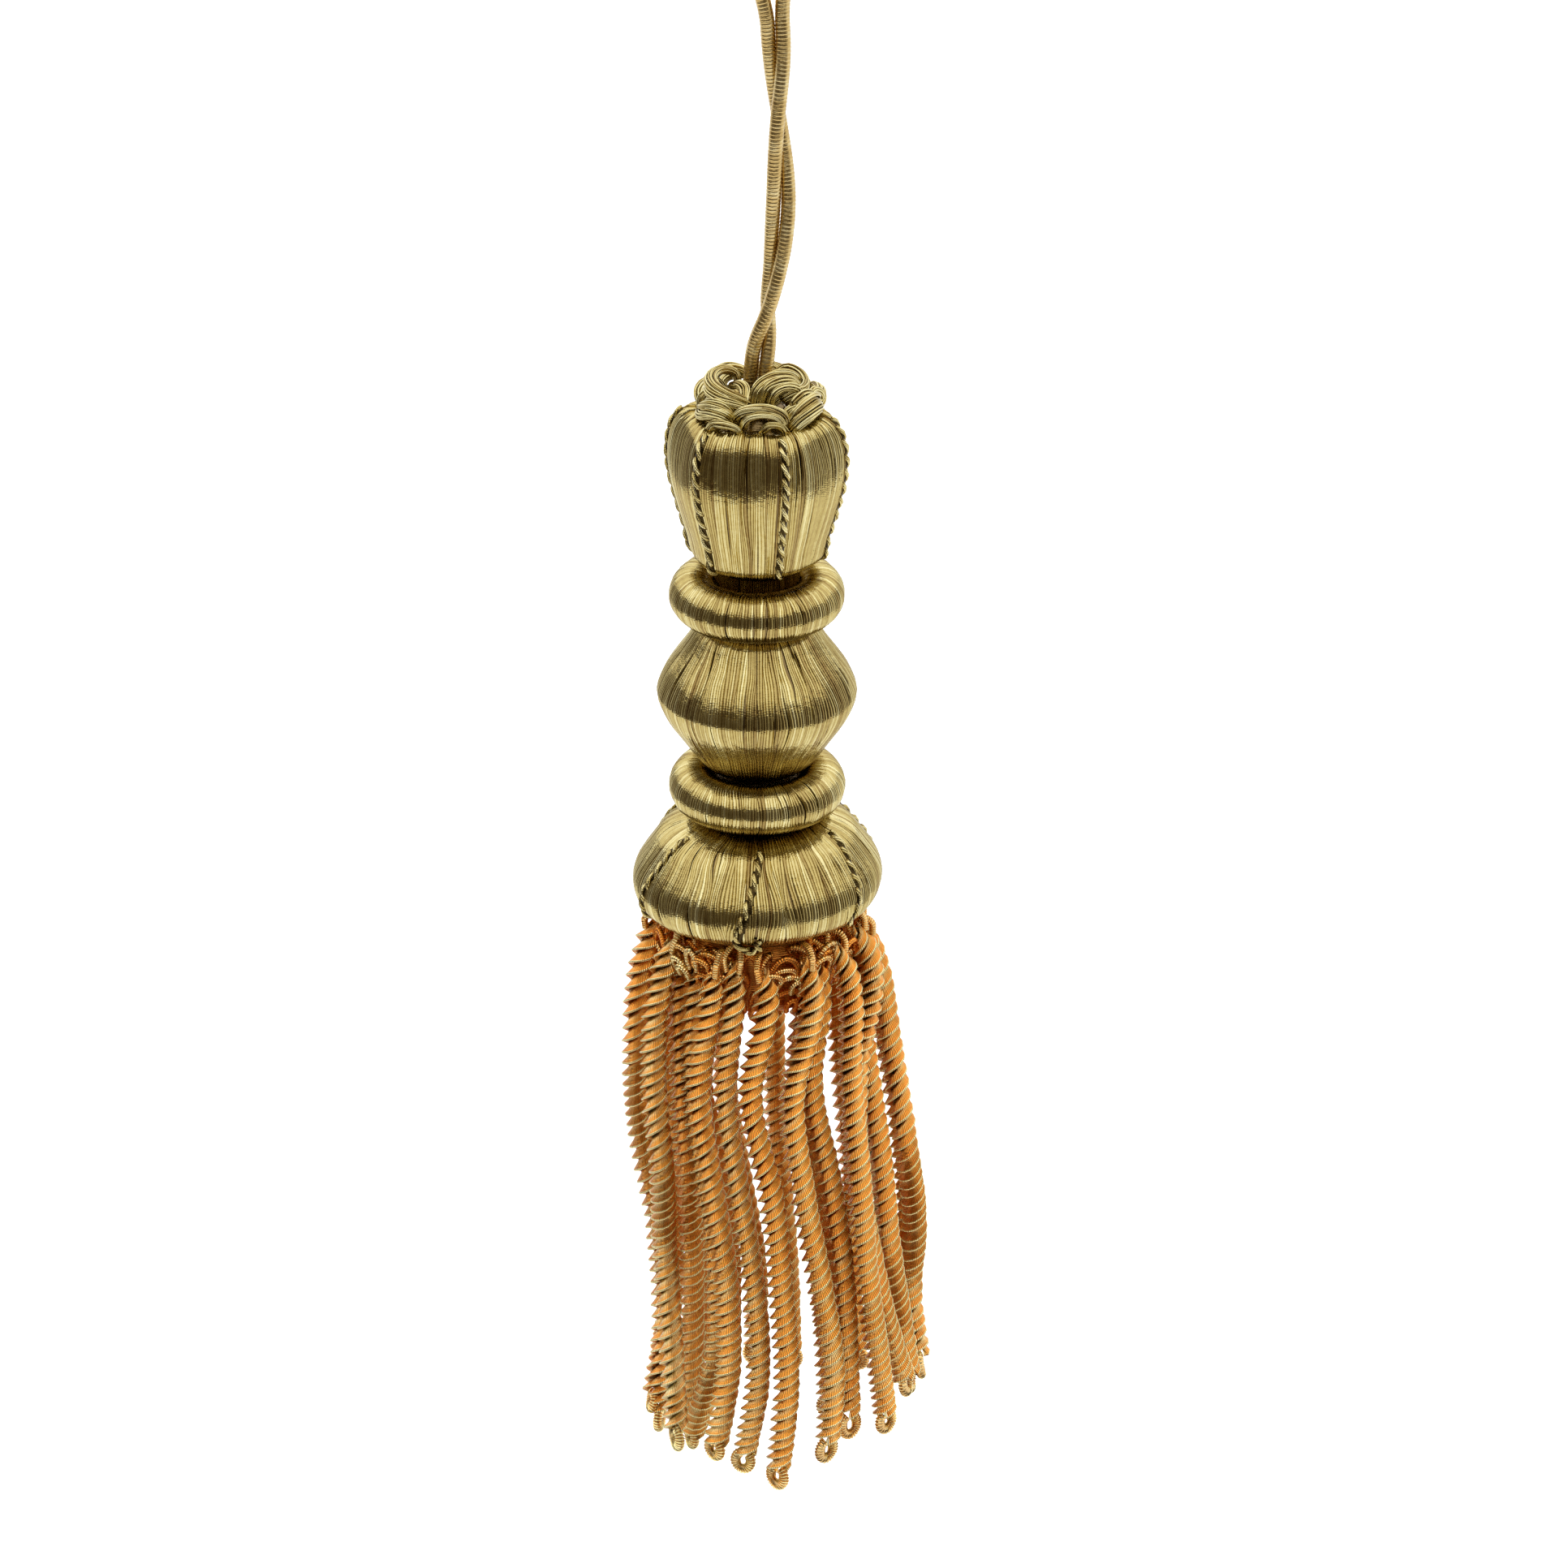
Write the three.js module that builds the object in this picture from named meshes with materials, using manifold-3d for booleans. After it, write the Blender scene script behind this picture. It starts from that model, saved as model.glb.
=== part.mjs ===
// Bullion tassel on a looped hanging cord.
// Millimetres, +Z up.  The origin is the point inside the top of the cord's loop
// that a hook or a key bears on; the tassel hangs below it.
// Front is -Y.  An azimuth of 0 points to the front and grows towards +X.

import * as THREE from 'three';
import { mergeVertices } from 'three/addons/utils/BufferGeometryUtils.js';
import Module from 'manifold-3d';

const wasm = await Module();
wasm.setup();

// ---------------------------------------------------------------- sizes

const HANG = 105;          // drop from the hanging point to the middle of the lower ring
const GAP = 0.3;           // clearance between neighbouring pieces
const ROUND = 24;          // facets round a turned piece

// All heights below are measured from the middle of the lower ring.

// Ring moulds: outer radius, half height (= section radius), height of the middle.
const RING_UPPER = { outer: 9.65, half: 2.8, middle: 23.05 };
const RING_LOWER = { outer: 9.8, half: 2.8, middle: 0.1 };

// Double-cone bead: radius at heights above and below its middle.
const BEAD_MIDDLE = 11.65;
const BEAD = [
  { up: -8.4, radius: 6.1 },
  { up: -6.1, radius: 7.85 },
  { up: -4.8, radius: 8.75 },
  { up: -2.7, radius: 10.15 },
  { up: -1.5, radius: 10.7 },
  { up: 0.0, radius: 11.05 },
  { up: 1.5, radius: 10.6 },
  { up: 2.7, radius: 10.0 },
  { up: 3.9, radius: 9.2 },
  { up: 5.7, radius: 7.9 },
  { up: 8.25, radius: 6.1 },
];

// Tulip cup: radius over its six corners by height; the lowest two rows are its neck.
const CUP = [
  { height: 25.5, radius: 4.8 },
  { height: 26.6, radius: 4.8 },
  { height: 27.2, radius: 6.2 },
  { height: 27.8, radius: 7.1 },
  { height: 30.3, radius: 7.9 },
  { height: 33.7, radius: 8.9 },
  { height: 36.5, radius: 9.6 },
  { height: 38.8, radius: 9.9 },
  { height: 41.0, radius: 9.8 },
  { height: 42.8, radius: 9.3 },
  { height: 44.0, radius: 8.5 },
  { height: 44.5, radius: 7.6 },
];
const PANELS = 6;          // flat panels round the cup, and cords on cup and bell
const PANEL_DRAW = 0.075;  // share of the radius by which a panel's middle is drawn in
const CUP_CORNER = 19;     // azimuth of one corner of the cup, degrees
const BELL_CORNER = -4;    // azimuth of one cord of the bell, degrees

// Bell: radius by height, from its underside to its top.
const BELL = [
  { height: -14.5, radius: 10.4 },
  { height: -14.1, radius: 12.1 },
  { height: -12.8, radius: 13.4 },
  { height: -11.0, radius: 13.9 },
  { height: -9.5, radius: 13.7 },
  { height: -7.9, radius: 13.15 },
  { height: -6.5, radius: 12.25 },
  { height: -5.15, radius: 10.8 },
  { height: -4.0, radius: 9.0 },
  { height: -3.1, radius: 6.7 },
];

// Thin twisted cords laid over the cup and the bell.
const LAID_CORD = 0.9;     // diameter
const CUP_CORD_FROM = 27.9, CUP_CORD_TO = 44.0;
const BELL_CORD_FROM = -13.6, BELL_CORD_TO = -4.3;
const BELL_CORD_LEAN = 12; // degrees that each bell cord slants from its top to its foot

// Rosette: two tiers of thread loops on a flat ring round the cord.
const ROSETTE_HOLE = 2.05, ROSETTE_FOOT = 44.8;
const ROSETTE_TIERS = [
  { loops: 7, reach: 5.6, height: 46.0, wide: 2.3, tall: 1.3, turn: 8 },
  { loops: 5, reach: 3.9, height: 47.4, wide: 1.7, tall: 1.2, turn: 20 },
];

// Hanging cord: two legs twisted round each other, then the loop.
const CORD = 1.6;          // diameter
const LEG_APART = 0.88;    // half the distance between the legs' centre lines
const CORD_FOOT = 44.85;   // height of the legs' lower ends
// sway: offset of the pair to +X; twist: turn of the pair, degrees; apart: half distance
const CORD_COURSE = [
  { height: 44.85, sway: 0.0, twist: 0, apart: LEG_APART },
  { height: 50.7, sway: 0.36, twist: 0, apart: LEG_APART },
  { height: 56.3, sway: 1.23, twist: 90, apart: LEG_APART },
  { height: 61.9, sway: 2.15, twist: 135, apart: LEG_APART },
  { height: 67.4, sway: 2.6, twist: 180, apart: LEG_APART },
  { height: 78.4, sway: 2.33, twist: 270, apart: LEG_APART },
  { height: 89.3, sway: 1.95, twist: 360, apart: LEG_APART },
  { height: 94.5, sway: 1.4, twist: 360, apart: 1.9 },
  { height: 99.0, sway: 0.6, twist: 360, apart: 3.7 },
  { height: 101.5, sway: 0.25, twist: 360, apart: 4.3 },
  { height: 104.3, sway: 0.05, twist: 360, apart: 3.1 },
];
const LOOP_TOP = HANG + CORD / 2;   // centre line at the very top of the loop
const CORD_STEPS = 56;

// Bullion skirt: a heading ring with the strands hanging from it.
const HEADING = { inner: 7.6, outer: 12.3, top: -14.85, bottom: -17.6 };
const ROOT = { height: -16.4, radius: 11.0 };
// Radius of the ring of strands and its sway to +X by height.
const SKIRT = [
  { height: -20, radius: 12.4, sway: 0.1 },
  { height: -32, radius: 14.1, sway: 0.65 },
  { height: -44, radius: 14.8, sway: 2.0 },
  { height: -56, radius: 14.4, sway: 3.3 },
  { height: -68, radius: 14.0, sway: 3.5 },
  { height: -80, radius: 14.3, sway: 3.7 },
];
// One row per strand: azimuth at the five upper heights above and at its end, the drop
// of its end below the lower ring, its thickness, and how far it lies inside the ring
// at its top, half way down and at its end.
const STRANDS = [
  { at: [-113, -112, -110, -112, -116], end: -98, drop: 80.5, thick: 2.7, inside: [0.2, 0.2, -1.9] },
  { at: [-82, -80, -92, -98, -103], end: -97, drop: 82.4, thick: 2.75, inside: [-0.5, -0.6, -1.0] },
  { at: [-58, -59, -58, -71, -70], end: -63, drop: 80.0, thick: 2.75, inside: [-0.2, -0.3, -0.4] },
  { at: [-57, -53, -56, -69, -79], end: -84, drop: 80.2, thick: 2.7, inside: [2.6, 2.8, 2.6] },
  { at: [-43, -44, -44, -45, -48], end: -78, drop: 82.6, thick: 2.65, inside: [2.6, 3.0, 2.6] },
  { at: [-24, -31, -29, -29, -30], end: -38, drop: 79.0, thick: 2.75, inside: [0.0, 0.1, 0.2] },
  { at: [-13, -18, -17, -16, -15], end: -23, drop: 79.5, thick: 2.65, inside: [0.3, 0.4, 0.5] },
  { at: [4, -6, -2, -3, -1], end: -6, drop: 80.7, thick: 2.8, inside: [-0.2, 0.0, 0.2] },
  { at: [28, 13, 12, 15, 21], end: 17, drop: 77.5, thick: 2.75, inside: [-0.2, 0.0, 0.2] },
  { at: [39, 27, 30, 32, 35], end: 34, drop: 76.2, thick: 2.65, inside: [1.9, 2.8, 2.2] },
  { at: [53, 44, 40, 39, 47], end: 50, drop: 76.4, thick: 2.7, inside: [0.1, 0.2, 0.0] },
  { at: [76, 52, 45, 48, 64], end: 73, drop: 74.4, thick: 2.7, inside: [-0.3, 1.8, 0.4] },
  { at: [86, 86, 80, 96, 104], end: 96, drop: 75.2, thick: 2.7, inside: [-0.3, -0.2, -0.8] },
  { at: [84, 70, 65, 64, 81], end: 84, drop: 75.5, thick: 2.7, inside: [2.2, 1.8, 0.4] },
  { at: [38, 25, 24, 25, 28], end: 27, drop: 74.7, thick: 2.65, inside: [4.6, 5.4, 4.6] },
  { at: [-98, -97, -100, -106, -108], end: -104, drop: 79.0, thick: 2.7, inside: [1.2, 3.2, 2.4] },
  { at: [-125, -124, -121, -123, -127], end: -118, drop: 79.2, thick: 2.7, inside: [0.0, 0.1, 0.0] },
  { at: [-137, -136, -133, -134, -138], end: -132, drop: 78.4, thick: 2.7, inside: [0.0, 0.2, 0.2] },
  { at: [-150, -148, -144, -145, -150], end: -148, drop: 79.6, thick: 2.7, inside: [0.0, 0.1, 0.2] },
  { at: [-164, -161, -156, -157, -163], end: -163, drop: 80.6, thick: 2.7, inside: [0.0, 0.2, 0.3] },
  { at: [173, 176, -179, -176, -179], end: 180, drop: 81.6, thick: 2.7, inside: [0.0, 0.1, 0.1] },
  { at: [157, 160, 164, 166, 163], end: 160, drop: 79.4, thick: 2.7, inside: [0.0, 0.2, 0.3] },
  { at: [141, 144, 148, 149, 150], end: 146, drop: 80.0, thick: 2.7, inside: [0.0, 0.1, 0.2] },
  { at: [126, 128, 134, 130, 133], end: 131, drop: 78.1, thick: 2.7, inside: [0.0, 0.3, 0.2] },
  { at: [104, 103, 103, 107, 115], end: 107, drop: 76.8, thick: 2.7, inside: [0.1, 0.3, -0.3] },
];
const STRAND_SIDES = 5, STRAND_STEPS = 8;

// ---------------------------------------------------------------- helpers

const rad = THREE.MathUtils.degToRad;

function goldThread(colour, roughness) {
  return new THREE.MeshStandardMaterial({ color: colour, roughness, metalness: 0.85 });
}
const GOLD = goldThread(0xb39a56, 0.35);
const OLD_GOLD = goldThread(0x9a7a3c, 0.4);
const COPPER_GOLD = goldThread(0xb8742f, 0.35);

function named(name, geometry, material) {
  const mesh = new THREE.Mesh(geometry, material);
  mesh.name = name;
  return mesh;
}

// Solid of revolution about Z from rows of [radius, height], lowest first.
function turned(rows) {
  const low = rows[0][1], high = rows[rows.length - 1][1];
  const outline = [[0, low], ...rows, [0, high]].map(([r, h]) => new THREE.Vector2(r, h));
  return new THREE.LatheGeometry(outline, ROUND).rotateX(Math.PI / 2);
}

// Ring with a round section, its hole left open.
function ringSection({ outer, half, middle }) {
  const centre = outer - half, sides = 9, outline = [];
  for (let i = 0; i <= sides; i++) {
    const a = -Math.PI / 2 + (i % sides) * (2 * Math.PI / sides);
    outline.push(new THREE.Vector2(centre + half * Math.cos(a), middle + half * Math.sin(a)));
  }
  return new THREE.LatheGeometry(outline, ROUND).rotateX(Math.PI / 2);
}

// Value of a column at a height, on a smooth curve through the table's rows.
function along(rows, column, height) {
  const h = rows.map((row) => row.height), f = rows.map((row) => row[column]);
  const last = h.length - 1;
  const slope = (k) => {
    if (k === 0) return (f[1] - f[0]) / (h[1] - h[0]);
    if (k === last) return (f[last] - f[last - 1]) / (h[last] - h[last - 1]);
    const a = h[k] - h[k - 1], b = h[k + 1] - h[k];
    return ((f[k + 1] - f[k]) / b * a + (f[k] - f[k - 1]) / a * b) / (a + b);
  };
  const rising = h[last] > h[0];
  let k = 0;
  while (k < last - 1 && (rising ? height > h[k + 1] : height < h[k + 1])) k++;
  const span = h[k + 1] - h[k], t = (height - h[k]) / span;
  const t2 = t * t, t3 = t2 * t;
  return (2 * t3 - 3 * t2 + 1) * f[k] + (t3 - 2 * t2 + t) * span * slope(k)
    + (3 * t2 - 2 * t3) * f[k + 1] + (t3 - t2) * span * slope(k + 1);
}

// Tube with a regular section along a curve.
function tube(points, diameter, sides, steps) {
  const section = new THREE.Shape();
  for (let i = 0; i < sides; i++) {
    const a = i * 2 * Math.PI / sides;
    const x = diameter / 2 * Math.cos(a), y = diameter / 2 * Math.sin(a);
    if (i === 0) section.moveTo(x, y); else section.lineTo(x, y);
  }
  section.closePath();
  const path = new THREE.CatmullRomCurve3(points);
  return new THREE.ExtrudeGeometry(section, { steps, extrudePath: path, bevelEnabled: false });
}

function toSolid(geometry) {
  const bare = new THREE.BufferGeometry();
  bare.setAttribute('position', geometry.getAttribute('position').clone());
  if (geometry.index) bare.setIndex(geometry.index.clone());
  const merged = mergeVertices(bare, 1e-4);
  return new wasm.Manifold(new wasm.Mesh({
    numProp: 3,
    vertProperties: new Float32Array(merged.getAttribute('position').array),
    triVerts: new Uint32Array(merged.index.array),
  }));
}

function fromSolid(solid) {
  const mesh = solid.getMesh();
  const points = new Float32Array(mesh.numVert * 3);
  for (let v = 0; v < mesh.numVert; v++) {
    for (let c = 0; c < 3; c++) points[3 * v + c] = mesh.vertProperties[v * mesh.numProp + c];
  }
  const geometry = new THREE.BufferGeometry();
  geometry.setAttribute('position', new THREE.BufferAttribute(points, 3));
  geometry.setIndex(new THREE.BufferAttribute(new Uint32Array(mesh.triVerts), 1));
  geometry.computeVertexNormals();
  return geometry;
}

function joined(geometries) {
  return fromSolid(geometries.map(toSolid).reduce((whole, piece) => whole.add(piece)));
}

function around(azimuth, radius, height) {
  return new THREE.Vector3(radius * Math.sin(rad(azimuth)), -radius * Math.cos(rad(azimuth)), height);
}

// ---------------------------------------------------------------- head

// Cup: a turned tulip whose six panels are drawn in between the corners.
function panelShare(azimuth) {
  const panel = 360 / PANELS;
  const off = (((azimuth - CUP_CORNER) % panel) + panel) % panel;   // 0 at a corner
  return Math.sin(Math.PI * off / panel) ** 1.4;
}

function cup() {
  const geometry = turned(CUP.map((row) => [row.radius, row.height]));
  const position = geometry.getAttribute('position');
  for (let i = 0; i < position.count; i++) {
    const x = position.getX(i), y = position.getY(i);
    const azimuth = THREE.MathUtils.radToDeg(Math.atan2(x, -y));
    const full = position.getZ(i) > CUP[3].height ? 1 : 0.5;
    const draw = 1 - PANEL_DRAW * full * panelShare(azimuth);
    position.setXY(i, x * draw, y * draw);
  }
  return geometry;
}

// Cord laid over a turned piece, its middle clear of the surface by GAP.
function laidCord(rows, from, to, azimuth, lean) {
  const steps = 5, points = [];
  for (let i = 0; i <= steps; i++) {
    const t = i / steps, height = from + (to - from) * t, d = 0.2;
    const rise = (along(rows, 'radius', height + d) - along(rows, 'radius', height - d)) / (2 * d);
    const off = (LAID_CORD / 2 + GAP) / Math.hypot(1, rise);
    const radius = along(rows, 'radius', height) + off;
    points.push(around(azimuth + lean * (t - 0.5), radius, height - rise * off));
  }
  return tube(points, LAID_CORD, 5, steps);
}

// Rosette: a flat ring that carries two tiers of plump thread loops.
function rosette() {
  const foot = ROSETTE_FOOT, mid = foot + 1.0, reach = 6.4;
  const outline = [
    [ROSETTE_HOLE, foot], [reach, foot], [reach, mid], [4.4, mid + 1.1], [ROSETTE_HOLE, mid + 1.3], [ROSETTE_HOLE, foot],
  ].map(([r, h]) => new THREE.Vector2(r, h));
  const pieces = [new THREE.LatheGeometry(outline, 14).rotateX(Math.PI / 2)];
  for (const tier of ROSETTE_TIERS) {
    for (let i = 0; i < tier.loops; i++) {
      const azimuth = tier.turn + i * 360 / tier.loops;
      const lobe = new THREE.SphereGeometry(1, 6, 4);
      lobe.scale(tier.wide, tier.wide * 0.8, tier.tall);
      lobe.rotateZ(rad(azimuth));
      const at = around(azimuth, tier.reach, tier.height);
      pieces.push(lobe.translate(at.x, at.y, at.z));
    }
  }
  const hole = new THREE.CylinderGeometry(ROSETTE_HOLE, ROSETTE_HOLE, 12, 12).rotateX(Math.PI / 2).translate(0, 0, 47);
  const below = new THREE.CylinderGeometry(12, 12, 6, 16).rotateX(Math.PI / 2).translate(0, 0, foot - 3);
  const whole = pieces.map(toSolid).reduce((sum, piece) => sum.add(piece));
  return fromSolid(whole.subtract(toSolid(hole)).subtract(toSolid(below)));
}

// ---------------------------------------------------------------- hanging cord

function cordLeg(side) {
  const points = [], count = 34, top = CORD_COURSE[CORD_COURSE.length - 1].height;
  for (let i = 0; i <= count; i++) {
    const height = CORD_FOOT + (top - CORD_FOOT) * i / count;
    const twist = rad(along(CORD_COURSE, 'twist', height));
    const apart = along(CORD_COURSE, 'apart', height) * side;
    points.push(new THREE.Vector3(
      along(CORD_COURSE, 'sway', height) - apart * Math.cos(twist),
      -apart * Math.sin(twist),
      height - HANG,
    ));
  }
  return points;
}

function hangingCord() {
  const up = cordLeg(1), down = cordLeg(-1).reverse();
  const top = new THREE.Vector3(0, 0, LOOP_TOP - HANG);
  return tube([...up, top, ...down], CORD, 8, CORD_STEPS);
}

// ---------------------------------------------------------------- bullion skirt

// Rows of x and y by height for one strand, from its root in the heading to its end.
function strandCourse({ at, end, drop, inside }) {
  const [top, middle, foot] = inside;
  const depths = [top, 0.4 * top + 0.6 * middle, middle, 0.75 * middle + 0.25 * foot, 0.35 * middle + 0.65 * foot];
  const last = SKIRT[SKIRT.length - 1];
  const rows = [
    { height: ROOT.height, azimuth: at[0], radius: ROOT.radius - top, sway: 0 },
    ...at.map((azimuth, k) => ({ ...SKIRT[k], azimuth, radius: SKIRT[k].radius - depths[k] })),
    { ...last, azimuth: end, radius: last.radius - foot, height: -drop },
  ];
  return rows.map((row) => {
    const p = around(row.azimuth, row.radius, row.height);
    return { height: row.height, x: p.x + row.sway, y: p.y };
  });
}

function strand(row) {
  const course = strandCourse(row), points = [], count = 16;
  const low = -row.drop + row.thick * 0.2;
  for (let i = 0; i <= count; i++) {
    const height = ROOT.height + (low - ROOT.height) * i / count;
    points.push(new THREE.Vector3(along(course, 'x', height), along(course, 'y', height), height));
  }
  const body = tube(points, row.thick * 0.95, STRAND_SIDES, STRAND_STEPS);
  const tip = points[count];
  const eye = new THREE.SphereGeometry(row.thick * 0.48, 6, 3).rotateX(Math.PI / 2);
  return [body, eye.translate(tip.x, tip.y, tip.z - row.thick * 0.12)];
}

function bullionSkirt() {
  const { inner, outer, top, bottom } = HEADING;
  const outline = [
    [inner, bottom], [outer - 0.5, bottom], [outer, bottom + 0.7], [outer, top - 0.5], [outer - 0.4, top], [inner, top], [inner, bottom],
  ].map(([r, h]) => new THREE.Vector2(r, h));
  const heading = new THREE.LatheGeometry(outline, ROUND).rotateX(Math.PI / 2);
  return joined([heading, ...STRANDS.flatMap(strand)]);
}

// ---------------------------------------------------------------- assembly

const tassel = new THREE.Group();
tassel.position.z = -HANG;
tassel.add(
  named('rosette', rosette(), GOLD),
  named('head_cup', cup(), GOLD),
  named('ring_upper', ringSection(RING_UPPER), GOLD),
  named('bead', turned(BEAD.map((row) => [row.radius, row.up + BEAD_MIDDLE])), GOLD),
  named('ring_lower', ringSection(RING_LOWER), GOLD),
  named('bell', turned(BELL.map((row) => [row.radius, row.height])), GOLD),
  named('bullion_skirt', bullionSkirt(), COPPER_GOLD),
);
for (let i = 0; i < PANELS; i++) {
  const turn = i * 360 / PANELS;
  tassel.add(
    named(`cup_cord_${i + 1}`, laidCord(CUP, CUP_CORD_FROM, CUP_CORD_TO, CUP_CORNER + turn, 0), OLD_GOLD),
    named(`bell_cord_${i + 1}`, laidCord(BELL, BELL_CORD_FROM, BELL_CORD_TO, BELL_CORNER + turn, BELL_CORD_LEAN), OLD_GOLD),
  );
}

const root = new THREE.Group();
root.add(named('hanging_cord', hangingCord(), OLD_GOLD), tassel);

export default root;
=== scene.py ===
# Bullion tassel: the visible model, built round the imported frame.
# Metres, +Z up.  The tables are in millimetres, with heights measured from the middle
# of the lower ring, which hangs HANG below the origin.  Front is -Y; an azimuth of 0
# points to the front and grows towards +X.

import math

import bpy
import numpy as np
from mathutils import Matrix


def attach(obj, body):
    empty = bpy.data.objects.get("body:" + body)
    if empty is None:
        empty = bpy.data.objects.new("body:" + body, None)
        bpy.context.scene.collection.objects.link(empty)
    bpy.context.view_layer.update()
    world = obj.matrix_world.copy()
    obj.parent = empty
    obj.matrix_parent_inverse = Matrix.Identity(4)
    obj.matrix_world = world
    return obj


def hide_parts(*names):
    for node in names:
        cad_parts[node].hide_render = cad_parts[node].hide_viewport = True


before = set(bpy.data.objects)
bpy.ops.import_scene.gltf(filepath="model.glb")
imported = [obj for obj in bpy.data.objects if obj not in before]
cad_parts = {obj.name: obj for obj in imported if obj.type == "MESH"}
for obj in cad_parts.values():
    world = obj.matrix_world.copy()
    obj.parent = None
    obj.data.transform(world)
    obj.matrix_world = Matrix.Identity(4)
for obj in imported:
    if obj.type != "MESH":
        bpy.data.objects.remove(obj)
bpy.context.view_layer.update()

MM = 0.001
HANG = 105.0
TAU = 2 * math.pi
scene = bpy.context.scene

# ---------------------------------------------------------------- camera

LOOK_DOWN = math.radians(25.2)
FAR = 0.72
camera = bpy.data.objects.new("camera", bpy.data.cameras.new("camera"))
camera.data.sensor_width = 36.0
camera.data.lens = 149.07
camera.data.clip_start = 0.02
camera.location = (0.00297, -FAR * math.cos(LOOK_DOWN), -HANG * MM + FAR * math.sin(LOOK_DOWN))
camera.rotation_euler = (math.pi / 2 - LOOK_DOWN, 0.0, 0.0)
scene.collection.objects.link(camera)
scene.camera = camera

# ---------------------------------------------------------------- curves and frames


def along(h, f, v):
    """Values f of a table at heights h, read at v, on a smooth curve through the rows."""
    h, f, v = (np.asarray(x, float) for x in (h, f, v))
    if h[-1] < h[0]:
        h, f = h[::-1], f[::-1]
    gap = np.diff(h)
    rise = np.diff(f) / gap
    slope = np.empty_like(f)
    slope[0], slope[-1] = rise[0], rise[-1]
    slope[1:-1] = (rise[1:] * gap[:-1] + rise[:-1] * gap[1:]) / (gap[1:] + gap[:-1])
    k = np.clip(np.searchsorted(h, v) - 1, 0, len(h) - 2)
    t = (v - h[k]) / gap[k]
    t2, t3 = t * t, t * t * t
    return (
        (2 * t3 - 3 * t2 + 1) * f[k]
        + (t3 - 2 * t2 + t) * gap[k] * slope[k]
        + (3 * t2 - 2 * t3) * f[k + 1]
        + (t3 - t2) * gap[k] * slope[k + 1]
    )


def lengths(points):
    """Distance along a line of points."""
    return np.concatenate([[0.0], np.cumsum(np.linalg.norm(np.diff(points, axis=0), axis=1))])


def smooth_path(points, count):
    """Even points on a smooth curve through the given ones."""
    points = np.asarray(points, float)
    s = lengths(points)
    fine = np.linspace(0, s[-1], 8 * count)
    dense = np.stack([along(s, c, fine) for c in points.T], 1)
    d = lengths(dense)
    even = np.linspace(0, d[-1], count)
    return np.stack([np.interp(even, d, c) for c in dense.T], 1)


def unit(v):
    return v / np.maximum(np.linalg.norm(v, axis=-1, keepdims=True), 1e-12)


def carried_frame(points, start):
    """Tangent, normal and binormal along a path, the normal carried on without spin."""
    t = unit(np.gradient(points, axis=0))
    n = np.empty_like(t)
    n[0] = unit(start - t[0] * (start @ t[0]))
    for i in range(1, len(t)):
        v = n[i - 1] - t[i] * (n[i - 1] @ t[i])
        n[i] = v / math.sqrt(v @ v)
    return t, n, np.cross(t, n)


def wander(rng, count, every):
    """A smooth random line of samples, about -1 to 1, with a new value each `every` samples."""
    knots = np.clip(rng.standard_normal(int(count / every) + 4) * 0.5, -1, 1)
    t = np.arange(count) / every + rng.random()
    k = t.astype(int)
    f = t - k
    f = f * f * (3 - 2 * f)
    return knots[k] * (1 - f) + knots[k + 1] * f


def ease(x):
    x = np.clip(x, 0, 1)
    return x * x * (3 - 2 * x)


def polar(azimuth, radius, height):
    """Points from azimuth in radians, radius and height in millimetres."""
    azimuth, radius, height = np.broadcast_arrays(azimuth, radius, height)
    return np.stack([radius * np.sin(azimuth), -radius * np.cos(azimuth), height], -1)


# ---------------------------------------------------------------- meshes


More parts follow.
